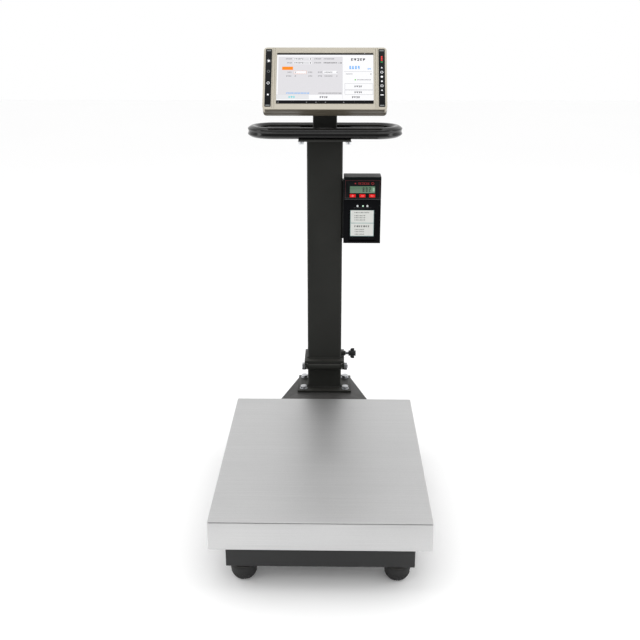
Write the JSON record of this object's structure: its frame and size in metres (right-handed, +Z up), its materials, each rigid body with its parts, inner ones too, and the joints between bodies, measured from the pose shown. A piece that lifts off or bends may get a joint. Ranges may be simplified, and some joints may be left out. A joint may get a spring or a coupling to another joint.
{
  "type": "label printing platform scale",
  "caption": "Floor-standing platform scale with a folding column, tilting touch display, carrying ring and side-mounted label printer.",
  "frame": {"origin": "floor level, at the middle of the plan outline", "axes": "+X to the operator's right, +Y from the operator's side of the platter to the column, +Z up"},
  "size_m": [0.45, 0.812, 1.0356],
  "materials": {
    "brushed_stainless": "brushed lengthways, satin",
    "frame_paint": "dark grey satin powder coat",
    "column_paint": "charcoal fine-texture powder coat",
    "load_paint": "grey primer paint",
    "zinc": "bright zinc plate",
    "cell_alloy": "milled",
    "shim_steel": "ground",
    "foot_rubber": "moulded",
    "ring_plastic": "gloss black",
    "wing_plastic": "moulded black",
    "bezel_champagne": "champagne satin lacquer",
    "cover_khaki": "khaki satin lacquer",
    "screen_glass": "lit touch screen",
    "lcd_grey": "moulded frame",
    "key_film": "printed polyester film",
    "board_green": "solder mask",
    "switch_black": "moulded black",
    "printer_black": "fine-texture moulding",
    "panel_film": "printed film on moulding",
    "window_green": "reflective green display",
    "button_red": "moulded red",
    "button_white": "moulded white",
    "light_green": "translucent green",
    "roller_rubber": "ground rubber sleeve",
    "head_metal": "milled",
    "paper": "coated label stock"
  },
  "bodies": {
    "base": {"platter_pads": "foot_rubber", "load_frame": "load_paint", "load_cell": "cell_alloy", "load_cell_shims": "shim_steel", "load_cell_bolts": "zinc", "base_frame": "frame_paint", "overload_stops": "zinc", "foot_lock_nuts": "zinc", "column_bracket": "frame_paint", "bracket_bolts": "zinc", "column_foot": "column_paint", "flange_bolts": "zinc"},
    "platter": {"platter": "brushed_stainless"},
    "foot_fl": {"foot_pad_fl": "foot_rubber", "foot_stud_fl": "zinc"},
    "foot_fr": {"foot_pad_fr": "foot_rubber", "foot_stud_fr": "zinc"},
    "foot_rl": {"foot_pad_rl": "foot_rubber", "foot_stud_rl": "zinc"},
    "foot_rr": {"foot_pad_rr": "foot_rubber", "foot_stud_rr": "zinc"},
    "column": {"column": "column_paint", "hinge_bolt": "zinc", "hinge_nut": "zinc", "handle_plate": "column_paint", "handle_ring": "ring_plastic", "handle_bolts": "zinc", "display_neck": "column_paint", "neck_screws": "zinc", "tilt_pin": "zinc", "printer_mount": "column_paint", "printer_screws": "zinc", "printer_case": "printer_black", "printer_panel": "panel_film", "printer_front": "printer_black", "printer_window": "window_green", "status_light": "light_green", "print_head": "head_metal"},
    "lock_knob": {"lock_screw": "zinc", "lock_wing": "wing_plastic"},
    "display": {"tilt_bracket": "column_paint", "tilt_screws": "zinc", "display_bezel": "bezel_champagne", "display_cover": "cover_khaki", "display_screws": "zinc", "screen_glass": "screen_glass", "lcd_panel": "lcd_grey", "key_strips": "key_film", "main_board": "board_green", "dc_inlet": "switch_black"},
    "rocker": {"power_rocker": "switch_black"},
    "red_key_left": {"red_button_left": "button_red"},
    "red_key_mid": {"red_button_mid": "button_red"},
    "red_key_right": {"red_button_right": "button_red"},
    "white_key_left": {"white_button_left": "button_white"},
    "white_key_right": {"white_button_right": "button_white"},
    "door": {"paper_door": "printer_black", "paper_strip": "paper"},
    "platen": {"platen_roller": "roller_rubber"},
    "roll": {"paper_roll": "paper"}
  },
  "joints": [
    {"name": "platter_lift", "type": "slide", "parent": "base", "child": "platter", "axis": [0, 0, 1], "range_m": [0, 0.045]},
    {"name": "column_fold", "type": "hinge", "parent": "base", "child": "column", "pos_m": [0, 0.286, 0.219], "axis": [1, 0, 0], "range_deg": [0, 80]},
    {"name": "lock_screw_turn", "type": "hinge", "parent": "column", "child": "lock_knob", "pos_m": [0.05, 0.324, 0.2422], "axis": [1, 0, 0], "continuous": true},
    {"name": "display_tilt", "type": "hinge", "parent": "column", "child": "display", "pos_m": [0, 0.349, 0.91], "axis": [1, 0, 0], "range_deg": [-20, 15]},
    {"name": "power_rocker_tip", "type": "hinge", "parent": "display", "child": "rocker", "pos_m": [0.104, 0.30997, 0.89802], "axis": [1, 0, 0], "range_deg": [0, 18]},
    {"name": "paper_door_open", "type": "hinge", "parent": "column", "child": "door", "pos_m": [0.095, 0.2923, 0.568], "axis": [1, 0, 0], "range_deg": [0, 70]},
    {"name": "paper_roll_spin", "type": "hinge", "parent": "column", "child": "roll", "pos_m": [0.095, 0.32, 0.59], "axis": [1, 0, 0], "continuous": true},
    {"name": "platen_spin", "type": "hinge", "parent": "door", "child": "platen", "pos_m": [0.095, 0.298, 0.638], "axis": [1, 0, 0], "continuous": true},
    {"name": "foot_fl_turn", "type": "hinge", "parent": "base", "child": "foot_fl", "pos_m": [-0.16, -0.344, 0.03], "axis": [0, 0, 1], "continuous": true},
    {"name": "foot_fr_turn", "type": "hinge", "parent": "base", "child": "foot_fr", "pos_m": [0.16, -0.344, 0.03], "axis": [0, 0, 1], "continuous": true},
    {"name": "foot_rl_turn", "type": "hinge", "parent": "base", "child": "foot_rl", "pos_m": [-0.16, 0.132, 0.03], "axis": [0, 0, 1], "continuous": true},
    {"name": "foot_rr_turn", "type": "hinge", "parent": "base", "child": "foot_rr", "pos_m": [0.16, 0.132, 0.03], "axis": [0, 0, 1], "continuous": true},
    {"name": "red_key_left_press", "type": "slide", "parent": "column", "child": "red_key_left", "axis": [0, 1, 0], "range_m": [0, 0.0008], "stiffness_N_per_m": 600, "springref_m": -0.0008},
    {"name": "red_key_mid_press", "type": "slide", "parent": "column", "child": "red_key_mid", "axis": [0, 1, 0], "range_m": [0, 0.0008], "stiffness_N_per_m": 600, "springref_m": -0.0008},
    {"name": "red_key_right_press", "type": "slide", "parent": "column", "child": "red_key_right", "axis": [0, 1, 0], "range_m": [0, 0.0008], "stiffness_N_per_m": 600, "springref_m": -0.0008},
    {"name": "white_key_left_press", "type": "slide", "parent": "column", "child": "white_key_left", "axis": [0, 1, 0], "range_m": [0, 0.0008], "stiffness_N_per_m": 500, "springref_m": -0.0008},
    {"name": "white_key_right_press", "type": "slide", "parent": "column", "child": "white_key_right", "axis": [0, 1, 0], "range_m": [0, 0.0008], "stiffness_N_per_m": 500, "springref_m": -0.0008}
  ],
  "couplings": [
    {"joint": "platen_spin", "follows": "paper_roll_spin", "ratio": -3.8}
  ]
}
